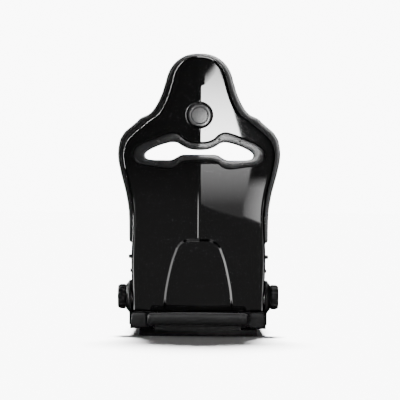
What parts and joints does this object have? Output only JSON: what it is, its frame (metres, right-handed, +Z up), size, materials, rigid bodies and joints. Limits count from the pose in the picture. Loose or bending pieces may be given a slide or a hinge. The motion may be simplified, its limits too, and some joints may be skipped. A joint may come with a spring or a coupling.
{
  "type": "racing seat",
  "caption": "Reclining racing seat: gloss black composite back shell with harness pass-through, padded bolsters, side recliner knobs and a low steel base.",
  "frame": {"origin": "centre of the bounding box's footprint, on the plane the seat rails stand on", "axes": "+Z up, the sitter faces -Y, +X is the sitter's left"},
  "size_m": [0.55, 0.6238, 0.959],
  "materials": {
    "gloss_shell": "deep gloss black over woven composite",
    "matte_trim": "matte dark grey",
    "screw_black": "black oxide, semi-gloss",
    "badge_satin": "dark satin",
    "leather": "fine-grained black leather over foam",
    "suede": "black suede-like fabric over foam",
    "frame_black": "semi-gloss black powder coat on steel",
    "bright_steel": "turned, lightly oiled",
    "webbing": "black woven elastic strap",
    "knob_plastic": "fine-textured black"
  },
  "bodies": {
    "base": {"base_rail_left": "frame_black", "base_rail_right": "frame_black", "recliner_arm_left": "frame_black", "recliner_arm_right": "frame_black", "recliner_cover_left": "knob_plastic", "recliner_cover_right": "knob_plastic", "recliner_outer_disc_left": "bright_steel", "recliner_outer_disc_right": "bright_steel", "arm_bolt_front_left": "screw_black", "arm_bolt_front_right": "screw_black", "arm_bolt_rear_left": "screw_black", "arm_bolt_rear_right": "screw_black", "cushion_bolster_left": "leather", "cushion_bolster_right": "leather", "rear_cross_bar": "frame_black", "front_cross_tube": "frame_black", "webbing_strap_1": "webbing", "webbing_strap_2": "webbing", "webbing_strap_3": "webbing", "cushion_pad": "suede", "thigh_roll": "leather", "rear_flap": "leather", "rear_roll": "leather"},
    "backrest": {"back_shell": "gloss_shell", "rear_bezel": "matte_trim", "front_bezel": "matte_trim", "bezel_screw_1": "screw_black", "bezel_screw_2": "screw_black", "bezel_screw_3": "screw_black", "bezel_screw_4": "screw_black", "bezel_screw_5": "screw_black", "bezel_screw_6": "screw_black", "bezel_screw_7": "screw_black", "bezel_screw_8": "screw_black", "side_bolt_upper_left": "screw_black", "side_bolt_upper_right": "screw_black", "side_bolt_lower_left": "screw_black", "side_bolt_lower_right": "screw_black", "shell_badge": "badge_satin", "backrest_cover": "leather", "backrest_bolster_left": "leather", "backrest_bolster_right": "leather", "shoulder_wing_left": "leather", "shoulder_wing_right": "leather", "lumbar_pad": "suede", "upper_back_pad": "suede", "head_pad": "suede", "backrest_hoop": "frame_black", "lower_cross_tube": "frame_black", "upper_cross_tube": "frame_black", "recliner_plate_left": "frame_black", "recliner_plate_right": "frame_black", "recliner_inner_disc_left": "bright_steel", "recliner_inner_disc_right": "bright_steel"},
    "recliner_drive": {"recliner_knob_left": "knob_plastic", "recliner_knob_right": "knob_plastic", "knob_cap_left": "badge_satin", "knob_cap_right": "badge_satin", "cross_shaft": "bright_steel"}
  },
  "joints": [
    {"name": "backrest_recline", "type": "hinge", "parent": "base", "child": "backrest", "pos_m": [0, 0.135, 0.133], "axis": [-1, 0, 0], "range_deg": [-18, 55]},
    {"name": "knob_turn", "type": "hinge", "parent": "base", "child": "recliner_drive", "pos_m": [0, 0.135, 0.133], "axis": [-1, 0, 0], "range_deg": [-612, 1870]}
  ],
  "couplings": [
    {"joint": "knob_turn", "follows": "backrest_recline", "ratio": 34}
  ]
}
